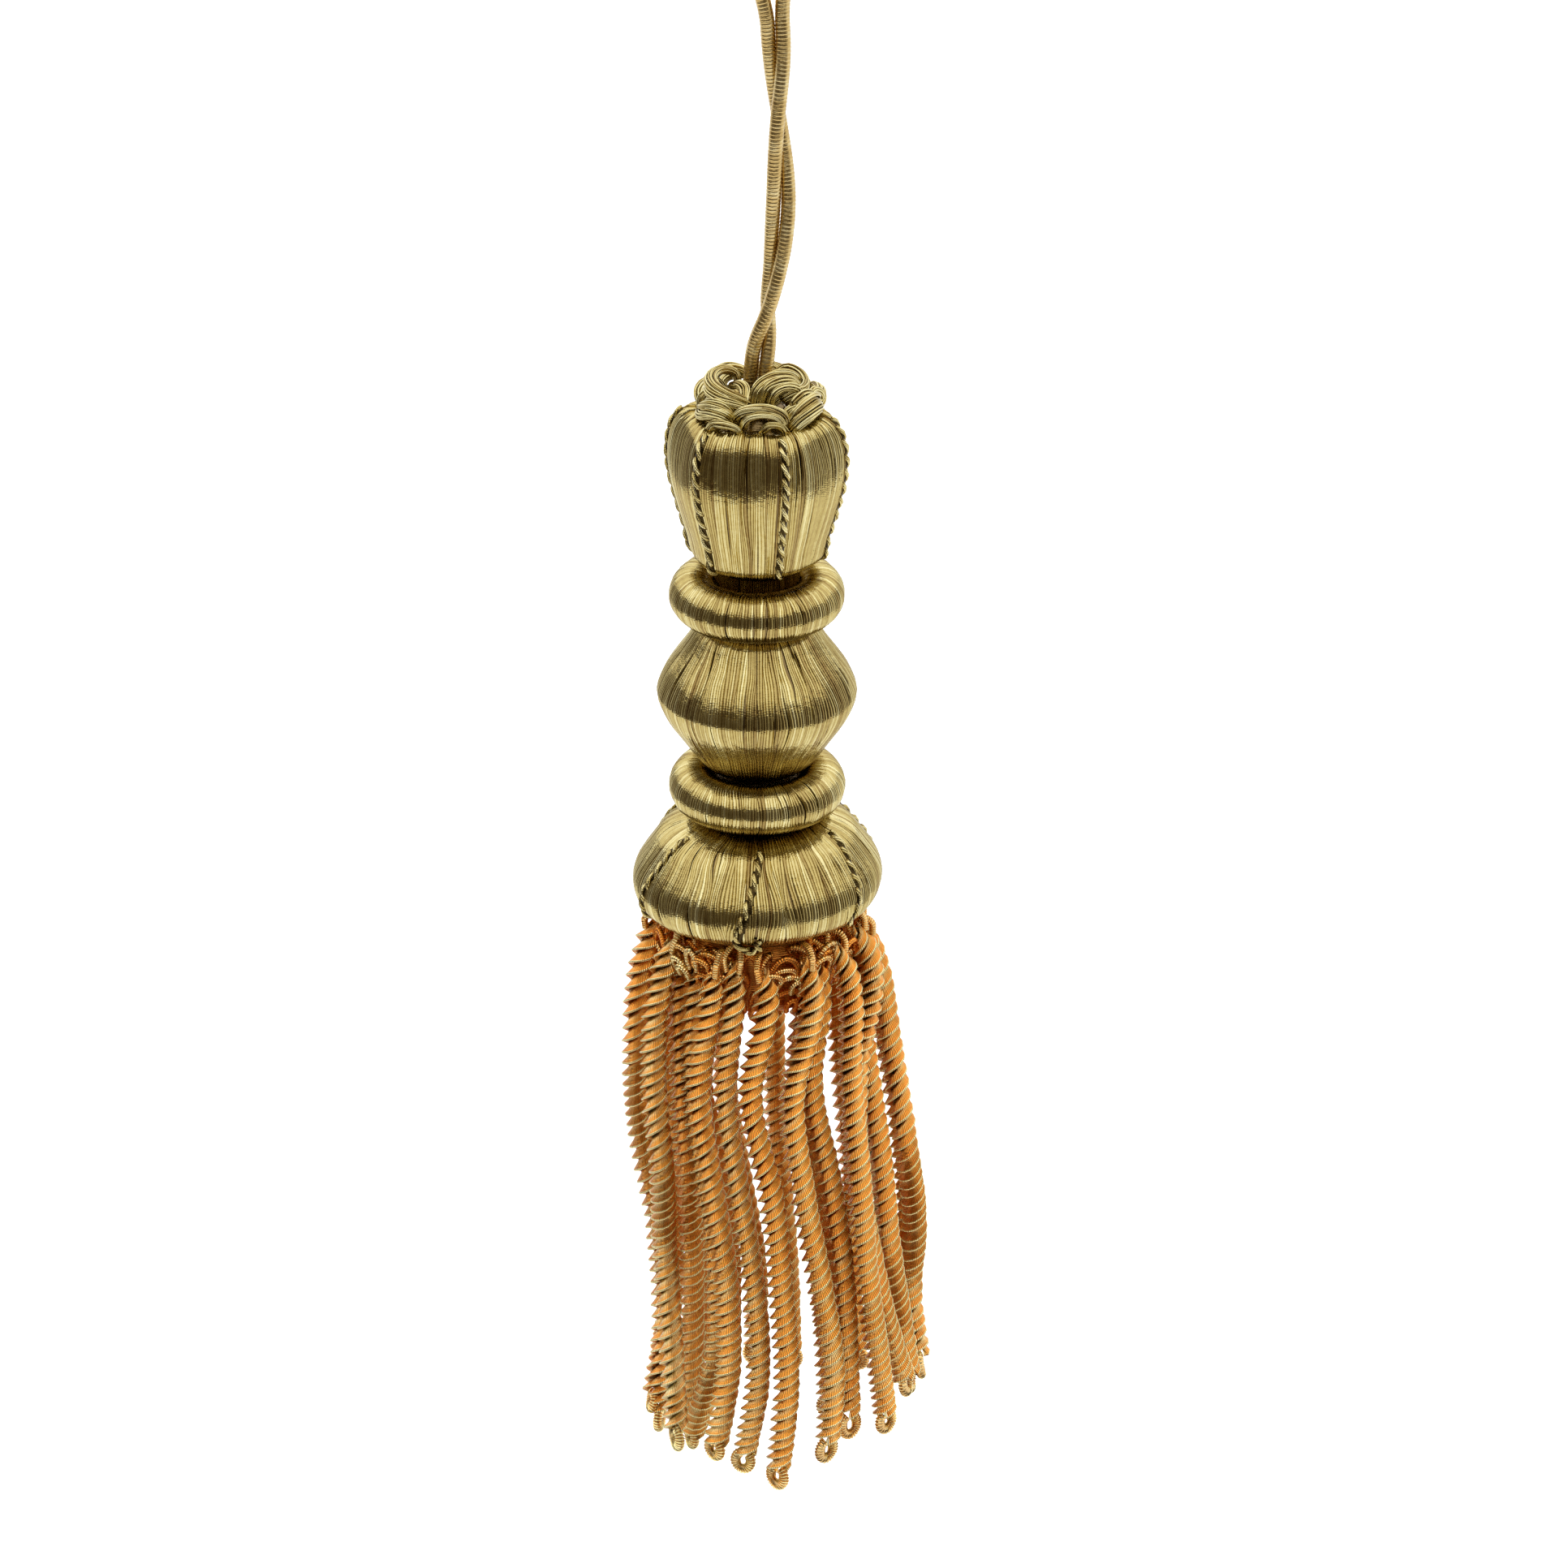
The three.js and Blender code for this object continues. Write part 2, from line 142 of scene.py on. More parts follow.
class Heap:
    """Many swept closed tubes gathered into one mesh."""

    def __init__(self):
        self.points, self.tone, self.run = [], [], []
        self.faces, self.maps, self.corners = [], [], []
        self.count = 0
        self.cells = 0

    def sweep(self, rings, tone=0.5, phase=0.0, run=None):
        """A tube from rings (n, m, 3) in mm with closed ends.  run is the length along it in mm."""
        n, m, _ = rings.shape
        middle = rings.mean(1)
        if run is None:
            run = lengths(middle)
        run = np.broadcast_to(np.asarray(run, float).reshape(n, -1), (n, m)) + phase
        tone = np.asarray(tone, float)
        if tone.ndim == 1:
            tone = tone[:, None]
        tone = np.broadcast_to(tone, (n, m))
        index = self.count + np.arange(n * m).reshape(n, m)
        a, b = index[:-1], index[1:]
        quads = np.stack([a, np.roll(a, -1, 1), np.roll(b, -1, 1), b], -1).reshape(-1, 4)
        u = 0.02 + 0.96 * np.arange(n) / (n - 1)
        v = np.arange(m + 1) / m
        u0, v0 = np.broadcast_arrays(u[:-1, None], v[None, :-1])
        u1, v1 = np.broadcast_arrays(u[1:, None], v[None, 1:])
        quad_map = np.stack([np.stack([u0, v0], -1), np.stack([u0, v1], -1),
                             np.stack([u1, v1], -1), np.stack([u1, v0], -1)], 2).reshape(-1, 4, 2)
        ends = []
        end_map = []
        for row, centre, edge, turn in ((index[0], self.count + n * m, (0.02, 0.0), True),
                                        (index[-1], self.count + n * m + 1, (0.98, 1.0), False)):
            nxt = np.roll(row, -1)
            mid = np.full(m, centre)
            ends.append(np.stack([mid, nxt, row] if turn else [mid, row, nxt], -1))
            inner = np.stack([np.full(m, edge[1]), (v[:-1] + v[1:]) / 2], -1)
            left = np.stack([np.full(m, edge[0]), v[:-1]], -1)
            right = np.stack([np.full(m, edge[0]), v[1:]], -1)
            end_map.append(np.stack([inner, right, left] if turn else [inner, left, right], 1))
        tris, tri_map = np.concatenate(ends), np.concatenate(end_map)
        points = np.concatenate([rings.reshape(-1, 3), rings[0].mean(0)[None], rings[-1].mean(0)[None]])
        local = quads - self.count
        p, q, r, w = (points[local[:, k]] - points[0] for k in range(4))
        bulk = np.einsum("ij,ij->", p, np.cross(q, r)) + np.einsum("ij,ij->", p, np.cross(r, w))
        if bulk < 0:
            quads, quad_map = quads[:, ::-1], quad_map[:, ::-1]
            tris, tri_map = tris[:, ::-1], tri_map[:, ::-1]
        self.points.append(points)
        self.tone.append(np.concatenate([tone.ravel(), [tone[0].mean(), tone[-1].mean()]]))
        self.run.append(np.concatenate([run.ravel(), [run[0].mean(), run[-1].mean()]]))
        for faces, places, size in ((quads, quad_map, 4), (tris, tri_map, 3)):
            self.faces.append(faces.ravel())
            cell = places.reshape(-1, 2).copy()
            cell[:, 1] = self.cells + 0.06 + 0.88 * cell[:, 1]
            self.maps.append(cell)
            self.corners.append(np.full(len(faces), size))
        self.count += len(points)
        self.cells += 1

    def tube(self, path, radius, sides, tone=0.5, phase=0.0, start=(0.0, 0.0, 1.0)):
        """A round tube along a path; radius is a number or one for each point."""
        t, n, b = carried_frame(path, np.asarray(start, float) + 1e-3)
        angle = np.arange(sides) * TAU / sides
        ring = np.cos(angle)[None, :, None] * n[:, None] + np.sin(angle)[None, :, None] * b[:, None]
        radius = np.broadcast_to(np.asarray(radius, float), (len(path),))
        self.sweep(path[:, None] + ring * radius[:, None, None], tone, phase)

    def build(self, name, material, nodes, drop=-HANG, sharp=None, tilt=0.0):
        """The mesh object, in metres, standing for the CAD nodes named."""
        points = np.concatenate(self.points)
        points[:, 2] += tilt * points[:, 0]
        points = (points + [0.0, 0.0, drop]) * MM
        corner = np.concatenate(self.faces).astype(np.int32)
        size = np.concatenate(self.corners)
        place = np.concatenate(self.maps)
        place[:, 1] /= self.cells
        mesh = bpy.data.meshes.new(name)
        mesh.vertices.add(len(points))
        mesh.vertices.foreach_set("co", points.astype(np.float32).ravel())
        mesh.loops.add(len(corner))
        mesh.loops.foreach_set("vertex_index", corner)
        mesh.polygons.add(len(size))
        mesh.polygons.foreach_set("loop_start", np.concatenate([[0], np.cumsum(size)[:-1]]).astype(np.int32))
        mesh.polygons.foreach_set("use_smooth", np.ones(len(size), bool))
        mesh.update(calc_edges=True)
        mesh.validate()
        layer = mesh.uv_layers.new(name="OFBake")
        layer.uv.foreach_set("vector", place.astype(np.float32).ravel())
        for key, values in (("tone", self.tone), ("run", self.run)):
            held = mesh.attributes.new(key, "FLOAT", "POINT")
            held.data.foreach_set("value", np.concatenate(values).astype(np.float32))
        if sharp:
            mesh.set_sharp_from_angle(angle=math.radians(sharp))
        mesh.materials.append(material)
        piece = bpy.data.objects.new(name, mesh)
        scene.collection.objects.link(piece)
        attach(piece, "root")
        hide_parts(*nodes)
        return piece


# ---------------------------------------------------------------- materials


def metal_thread(name, shade, deep, body, light, rough, pitch, rib, grain, gap, metal=1.0, uneven=0.0):
    """Metal-wrapped thread.  The tone of each strand picks between four golds, from the gold of painted shade to that
    of painted highlight;
    the turns of the wrapping lie across it at the pitch in mm, with painted shade in the grooves between them, and a
    fine grain varies colour and gloss."""
    material = bpy.data.materials.new(name)
    material.use_nodes = True
    tree = material.node_tree
    tree.nodes.clear()

    def node(kind, **values):
        made = tree.nodes.new(kind)
        for key, value in values.items():
            setattr(made, key, value)
        return made

    out = node("ShaderNodeOutputMaterial")
    shader = node("ShaderNodeBsdfPrincipled")
    shader.inputs["Metallic"].default_value = metal
    tree.links.new(shader.outputs["BSDF"], out.inputs["Surface"])

    place = node("ShaderNodeTexCoord")
    speck = node("ShaderNodeTexNoise")
    speck.inputs["Scale"].default_value = 1800.0
    speck.inputs["Detail"].default_value = 2.0
    tree.links.new(place.outputs["Object"], speck.inputs["Vector"])

    run = node("ShaderNodeAttribute", attribute_name="run")
    turns = node("ShaderNodeMath", operation="MULTIPLY")
    turns.inputs[1].default_value = TAU / pitch
    tree.links.new(run.outputs["Fac"], turns.inputs[0])
    wave = node("ShaderNodeMath", operation="SINE")
    tree.links.new(turns.outputs[0], wave.inputs[0])

    tone = node("ShaderNodeAttribute", attribute_name="tone")
    specked = node("ShaderNodeMath", operation="MULTIPLY_ADD")
    tree.links.new(speck.outputs["Fac"], specked.inputs[0])
    specked.inputs[1].default_value = grain
    tree.links.new(tone.outputs["Fac"], specked.inputs[2])
    ramp = node("ShaderNodeValToRGB")
    ramp.color_ramp.elements[0].position = 0.0
    ramp.color_ramp.elements[0].color = (*shade, 1)
    ramp.color_ramp.elements[1].position = 1.0
    ramp.color_ramp.elements[1].color = (*light, 1)
    middle = ramp.color_ramp.elements.new(0.5 + grain / 2)
    middle.color = (*body, 1)
    lower = ramp.color_ramp.elements.new(0.10 + grain / 2)
    lower.color = (*deep, 1)
    tree.links.new(specked.outputs[0], ramp.inputs["Fac"])
    # Painted shade: between the turns of the wrapping the colour darkens towards B, more so on lighter tones.
    groove_shade = node("ShaderNodeMapRange", interpolation_type="SMOOTHSTEP")
    groove_shade.inputs["From Min"].default_value = 0.1
    groove_shade.inputs["From Max"].default_value = -1.0
    depth = node("ShaderNodeMath", operation="MULTIPLY_ADD")
    tree.links.new(tone.outputs["Fac"], depth.inputs[0])
    depth.inputs[1].default_value = gap * 0.6
    depth.inputs[2].default_value = gap * 0.6
    tree.links.new(depth.outputs[0], groove_shade.inputs["To Max"])
    tree.links.new(wave.outputs[0], groove_shade.inputs["Value"])
    colour = node("ShaderNodeMix", data_type="RGBA")
    tree.links.new(groove_shade.outputs["Result"], colour.inputs["Factor"])
    tree.links.new(ramp.outputs["Color"], colour.inputs["A"])
    colour.inputs["B"].default_value = (deep[0] * 0.4, deep[1] * 0.35, deep[2] * 0.3, 1)
    tree.links.new(colour.outputs["Result"], shader.inputs["Base Color"])

    gloss = node("ShaderNodeMapRange")
    gloss.inputs["From Min"].default_value = 0.3
    gloss.inputs["From Max"].default_value = 0.7
    gloss.inputs["To Min"].default_value = rough - 0.03
    gloss.inputs["To Max"].default_value = rough + 0.05
    tree.links.new(speck.outputs["Fac"], gloss.inputs["Value"])
    tree.links.new(gloss.outputs["Result"], shader.inputs["Roughness"])

    bump = node("ShaderNodeBump")
    bump.inputs["Strength"].default_value = 1.0
    bump.inputs["Distance"].default_value = rib * MM
    relief = node("ShaderNodeMath", operation="MULTIPLY_ADD")
    tree.links.new(speck.outputs["Fac"], relief.inputs[0])
    relief.inputs[1].default_value = uneven / rib
    tree.links.new(wave.outputs[0], relief.inputs[2])
    tree.links.new(relief.outputs[0], bump.inputs["Height"])
    tree.links.new(bump.outputs["Normal"], shader.inputs["Normal"])
    return material


HEAD = metal_thread("head_thread", (0.20, 0.135, 0.055), (0.28, 0.18, 0.055), (0.55, 0.435, 0.162), (0.80, 0.71, 0.37),
                    0.15, 0.27, 0.0012, 0.34, 0.03, uneven=0.035)
LAID = metal_thread("laid_cord", (0.05, 0.032, 0.010), (0.26, 0.17, 0.05), (0.60, 0.48, 0.18), (0.86, 0.76, 0.40),
                    0.22, 0.22, 0.005, 0.30, 0.08, uneven=0.03)
CORD = metal_thread("cord", (0.09, 0.055, 0.016), (0.42, 0.27, 0.09), (0.65, 0.465, 0.185), (0.90, 0.78, 0.44),
                    0.27, 0.22, 0.006, 0.34, 0.05, uneven=0.04)
BULLION = metal_thread("bullion", (0.40, 0.19, 0.045), (0.96, 0.32, 0.042), (0.97, 0.425, 0.07), (1.0, 0.90, 0.45),
                       0.17, 0.26, 0.026, 0.12, 0.52, metal=0.97)

# ---------------------------------------------------------------- hanging cord

CORD_WIDE = 1.6
CORD_FOOT = 44.85
CORD_COURSE = [  # height, sway to +X, turn of the pair in degrees, half distance of the legs
    (44.85, 0.0, 0, 0.88), (50.7, 0.36, 0, 0.88), (56.3, 1.23, 90, 0.88), (61.9, 2.15, 135, 0.88),
    (67.4, 2.6, 180, 0.88), (78.4, 2.33, 270, 0.88), (89.3, 1.95, 360, 0.88), (94.5, 1.4, 360, 1.9),
    (99.0, 0.6, 360, 3.7), (101.5, 0.25, 360, 4.3), (104.3, 0.05, 360, 3.1),
]


def cord_leg(side):
    h, sway, turn, apart = np.array(CORD_COURSE, float).T
    v = np.linspace(h[0], h[-1], 35)
    turn = np.radians(along(h, turn, v))
    apart = np.maximum(along(h, apart, v) - 0.06, 0.81) * side
    return np.stack([along(h, sway, v) - apart * np.cos(turn), -apart * np.sin(turn), v - HANG], 1)


def hanging_cord():
    path = np.concatenate([cord_leg(1), [[0, 0, CORD_WIDE / 2]], cord_leg(-1)[::-1]])
    pitch, per_turn, sides = 0.42, 6, 12
    total = lengths(smooth_path(path, 600))[-1]
    line = smooth_path(path, int(total / pitch * per_turn))
    s = lengths(line)
    t, n, b = carried_frame(line, np.array([1.0, 0.0, 0.1]))
    angle = np.arange(sides) * TAU / sides
    wrap = s[:, None] / pitch * TAU - angle[None]
    bulge = 0.776 + 0.038 * np.abs(np.cos(wrap / 2)) ** 0.8
    ring = np.cos(angle)[None, :, None] * n[:, None] + np.sin(angle)[None, :, None] * b[:, None]
    rng = np.random.default_rng(3)
    heap = Heap()
    # Tone: painted highlight on the crests of the wrapping, painted shade between its turns, and random changes along
    # the cord.
    tone = 0.36 + 0.20 * (bulge - 0.776) / 0.038 + 0.14 * wander(rng, len(line), 12)[:, None]
    heap.sweep(line[:, None] + ring * bulge[:, :, None], tone)
    piece = heap.build("hanging_cord_yarn", CORD, ["hanging_cord"], drop=0.0)
    return piece


hanging_cord()

# ---------------------------------------------------------------- head

RING_UPPER = {"outer": 9.65, "half": 2.8, "middle": 23.05}
RING_LOWER = {"outer": 9.8, "half": 2.8, "middle": 0.1}
BEAD_MIDDLE = 11.65
BEAD = [  # height above the middle, radius
    (-8.4, 6.1), (-6.1, 7.85), (-4.8, 8.75), (-2.7, 10.15), (-1.5, 10.7), (0.0, 11.05),
    (1.5, 10.6), (2.7, 10.0), (3.9, 9.2), (5.7, 7.9), (8.25, 6.1),
]
CUP = [  # height, radius over the corners
    (25.5, 4.8), (26.6, 4.8), (27.2, 6.2), (27.8, 7.1), (30.3, 7.9), (33.7, 8.9), (36.5, 9.6),
    (38.8, 9.9), (41.0, 9.8), (42.8, 9.3), (44.0, 8.5), (44.5, 7.6),
]
CUP_LIP = [(44.5, 6.7), (44.0, 5.9), (42.8, 5.5), (41.6, 5.4)]
PANELS, PANEL_DRAW, CUP_CORNER, BELL_CORNER = 6, 0.075, 19.0, -4.0
BELL_TILT = 0.028  # rise to +X: the bell sits a little askew
BELL = [  # height, radius
    (-14.6, 10.2), (-14.2, 11.65), (-13.5, 13.0), (-12.5, 13.62), (-11.3, 13.9), (-10.2, 13.85), (-9.2, 13.5), (-8.2, 12.9),
    (-7.2, 12.2), (-6.2, 11.5), (-5.4, 10.9), (-4.6, 9.9), (-3.8, 8.4), (-3.1, 6.7),
]
CURL = [(0.0, -13.75, -12.9), (0.35, -13.3, -13.6), (-0.4, -12.6, -14.45), (-1.5, -12.8, -14.0)]  # end of the front bell cord


def panel_draw(azimuth, height):
    """Share of the radius that is left where the cup's panels are drawn in."""
    off = np.mod(azimuth - math.radians(CUP_CORNER), TAU / PANELS)
    full = np.where(height > 27.8, 1.0, 0.5) + 0.5 * ease((height - 36) / 6)
    return 1 - PANEL_DRAW * full * np.sin(math.pi * off / (TAU / PANELS)) ** 1.4


def round_form(azimuth, height):
    return np.ones(np.broadcast(azimuth, height).shape)


def threaded(heap, rows, sectors, each, seed, steps, start=0.0, form=round_form, crowd=0.8, deep=0.10, bunch=1.0, ruffle=0.0,
             shade_lengths=(1.6, 1.6), pale=0.5):
    """Threads laid side by side up a turned form, over a closed base painted dark as the shade between them.  Rows are
    (height, radius).
    Where the form narrows, some threads sink under their neighbours; a few slack ones lie low and are painted darker as
    shade.
    Over the given lengths at both ends they are painted darker, as shade where the next piece meets them."""
    rng = np.random.default_rng(seed)
    line = smooth_path([(r, h) for h, r in rows], steps)
    r, h = line.T
    t = unit(np.gradient(line, axis=0))
    out_r, out_h = t[:, 1], -t[:, 0]
    s = lengths(line)
    total = sectors * each
    room = (r / r.max()) ** crowd
    rank = np.mod(np.arange(total) * 0.6180339 + 0.03 * rng.standard_normal(total), 1.0)
    rank = np.argsort(np.argsort(rank)) / total
    weight = 0.05 + 0.95 * ease((room[None] - rank[:, None]) / 0.14 + 0.5)
    weight *= 1 + 0.20 * np.stack([wander(rng, steps, steps / 4) for _ in range(total)])
    weight *= (1 + 0.10 * rng.standard_normal(total)).clip(0.7, 1.3)[:, None]
    weight = weight.reshape(sectors, each, steps)
    edge = np.concatenate([np.zeros((sectors, 1, steps)), np.cumsum(weight, 1)], 1)
    edge = edge / edge[:, -1:] * (TAU / sectors)
    edge = edge + (np.arange(sectors) * TAU / sectors)[:, None, None] + math.radians(start)
    def tuft(knots, every):
        rows_of = np.stack([wander(rng, total + 1, every) for _ in range(knots)])
        rows_of *= ease(np.minimum(np.arange(total + 1), total - np.arange(total + 1)) / 6.0)
        at = s / s[-1] * (knots - 1)
        k = np.minimum(at.astype(int), knots - 2)
        f = ease(at - k)
        return (rows_of[k] * (1 - f)[:, None] + rows_of[k + 1] * f[:, None]).T

    sway = tuft(5, 4.0) * bunch * TAU / total
    low = edge[:, :-1].reshape(total, steps) + sway[:-1]
    high = edge[:, 1:].reshape(total, steps) + sway[1:]
    swell, sheen = 0.035 * tuft(6, 3.0), 0.16 * tuft(4, 2.2)
    # Painted shade at both ends, over the given lengths, where the next piece meets them.
    painted_end_shade = 0.32 * (ease(1.25 - s / shade_lengths[0]) + ease(1.25 - (s[-1] - s) / shade_lengths[1]))
    arc = np.array([0.0, 0.21, 0.5, 0.79, 1.0]) * math.pi
    slack = np.where(rng.random(total) < 0.05, 0.02 + 0.04 * rng.random(total), 0.0)
    split = np.where(rng.random(total) < 0.30, 0.2 + 0.5 * rng.random(total), 0.06)
    split_at, split_long = rng.random(total) ** 0.8 * 1.1 - 0.05, 0.06 + 0.12 * rng.random(total)
    sunk = rng.standard_normal(total) * 0.012
    ruffled = ruffle * rng.standard_normal(total)[:, None] * ease((s - s[-1] + 6.0) / 2.2)
    for i in range(total):
        wide = (high[i] - low[i]) * r
        low_here = slack[i] * (0.6 + 0.8 * wander(rng, steps, steps / 3)).clip(0, 1.2)
        tall = np.minimum(0.34 * wide, deep) + sunk[i] - low_here + swell[i] + ruffled[i]
        parted = split[i] * np.exp(-((s / s[-1] - split_at[i]) / split_long[i]) ** 2)
        middle = (low[i] + high[i]) / 2 + (1 if i % 2 else -1) * parted * (high[i] - low[i]) / 2
        azimuth = middle[:, None] - np.cos(arc)[None] * ((1 - parted) * wide * 0.51 / r)[:, None]
        lift = -deep - 0.05 + (tall + 0.05)[:, None] * np.sin(arc)[None]
        height = h[:, None] + out_h[:, None] * lift
        radius = r[:, None] * form(azimuth, h[:, None]) + out_r[:, None] * lift
        # Painted shade: slack threads lying low are darker, and so are both ends; the sheen paints lighter bunches.
        tone = pale + 0.13 * rng.standard_normal() + 0.10 * wander(rng, steps, steps / 5) - 3.5 * low_here + sheen[i] - painted_end_shade
        heap.sweep(polar(azimuth, radius, height), tone, phase=rng.random() * 10, run=s)
    # The closed base under the threads is painted dark (tone -0.5) as the shade seen between them.
    turn = np.arange(96) * TAU / 96
    under = -deep - 0.12
    base = polar(turn[None], r[:, None] * form(turn[None], h[:, None]) + out_r[:, None] * under,
                 h[:, None] + out_h[:, None] * under)
    heap.sweep(base, -0.5, run=s)


def ring_rows(ring):
    centre = ring["outer"] - ring["half"]
    angle = np.radians(np.linspace(-160, 160, 25))
    return [(ring["middle"] + ring["half"] * math.sin(a), centre + ring["half"] * math.cos(a)) for a in angle]


def rope(heap, path, start, plies, threads, ply_off, thread_off, thread_radius, lead, inner_lead, sides, rng, hand=-1):
    """A cord of plies twisted together, each of a few threads; painted darker, as shade, where a ply dives under the
    other.
    """
    t, n, b = carried_frame(path, np.asarray(start, float))
    s = lengths(path)
    for p in range(plies):
        a = hand * s / lead * TAU + p * TAU / plies
        out = np.cos(a)[:, None] * n + np.sin(a)[:, None] * b
        ply = path + out * ply_off
        pt, pn, pb = carried_frame(ply, out[0])
        for k in range(threads):
            c = hand * s / inner_lead * TAU + k * TAU / threads + p
            off = np.cos(c)[:, None] * pn + np.sin(c)[:, None] * pb
            thread = ply + off * thread_off
            radius = thread_radius * (1 + 0.08 * wander(rng, len(s), 9))
            away = unit(path * [1.0, 1.0, 0.0])
            dive = ease((0.25 - np.sum(out * away, 1)) / 0.7)
            # Painted shade where the ply dives under the other.
            tone = 0.55 + 0.12 * rng.standard_normal() - 0.9 * dive
            heap.tube(thread, radius, sides, tone=tone, phase=rng.random() * 9, start=out[0])


def laid_line(rows, low, high, azimuth, lean, lift, count):
    """Points of a cord laid over a turned form, its middle lifted off the surface."""
    h, r = np.array(rows, float).T
    v = np.linspace(low, high, 60)
    d = 0.2
    rise = (along(h, r, v + d) - along(h, r, v - d)) / (2 * d)
    off = lift / np.hypot(1, rise)
    turn = np.radians(azimuth + lean * ((v - low) / (high - low) - 0.5))
    return smooth_path(polar(turn, along(h, r, v) + off, v - rise * off), count)


def head():
    cup = Heap()
    threaded(cup, [(24.9, 4.7)] + CUP + CUP_LIP, PANELS, 36, 11, 38, start=CUP_CORNER, form=panel_draw, crowd=0.75,
             ruffle=0.13, pale=0.46, shade_lengths=(3.0, 3.0))
    cup.build("head_cup_threads", HEAD, ["head_cup"], sharp=70)
    for name, ring, seed in (("ring_upper", RING_UPPER, 21), ("ring_lower", RING_LOWER, 22)):
        heap = Heap()
        threaded(heap, ring_rows(ring), 6, 32, seed, 22, crowd=0.8, shade_lengths=(2.6, 3.0))
        heap.build(name + "_threads", HEAD, [name], sharp=70)
    bead = Heap()
    threaded(bead, [(u + BEAD_MIDDLE, r) for u, r in [(-9.4, 4.7), (-9.0, 5.3)] + BEAD + [(8.9, 5.2)]], 6, 36, 31, 30, crowd=0.8, shade_lengths=(2.2, 2.2))
    bead.build("bead_threads", HEAD, ["bead"], sharp=70)
    bell = Heap()
    threaded(bell, [(-14.8, 8.6)] + BELL + [(-2.6, 5.6)], 6, 44, 41, 31, start=BELL_CORNER, crowd=0.85, bunch=1.6, shade_lengths=(1.8, 2.4))
    bell.build("bell_threads", HEAD, ["bell"], sharp=70, tilt=BELL_TILT)
    rng = np.random.default_rng(51)
    for i in range(PANELS):
        for name, rows, low, high, corner, lean, count in (("cup", CUP, 27.6, 44.2, CUP_CORNER, 0, 100),
                                                           ("bell", BELL, -13.9, -4.1, BELL_CORNER, 12, 76)):
            azimuth = corner + i * 360 / PANELS
            across = (math.cos(math.radians(azimuth)), math.sin(math.radians(azimuth)), 0)
            heap = Heap()
            path = laid_line(rows, low, high, azimuth, lean, -0.10, count)
            if name == "bell" and i == 0:
                path = smooth_path(CURL + laid_line(rows, low + 1.4, high, azimuth, lean, -0.10, 20).tolist(), count + 24)
            rope(heap, path, across, 2, 3, 0.27, 0.10, 0.17, 3.3, 2.6, 5, rng)
            # A tube under the cord, painted dark (tone -0.5) as the shade along its sides.
            heap.tube(laid_line(rows, low, high, azimuth, lean, -0.30, 40), 0.44, 8, tone=-0.5)
            heap.build("%s_cord_%d_twist" % (name, i + 1), LAID, ["%s_cord_%d" % (name, i + 1)],
                       tilt=BELL_TILT if name == "bell" else 0.0)


head()

# ---------------------------------------------------------------- rosette

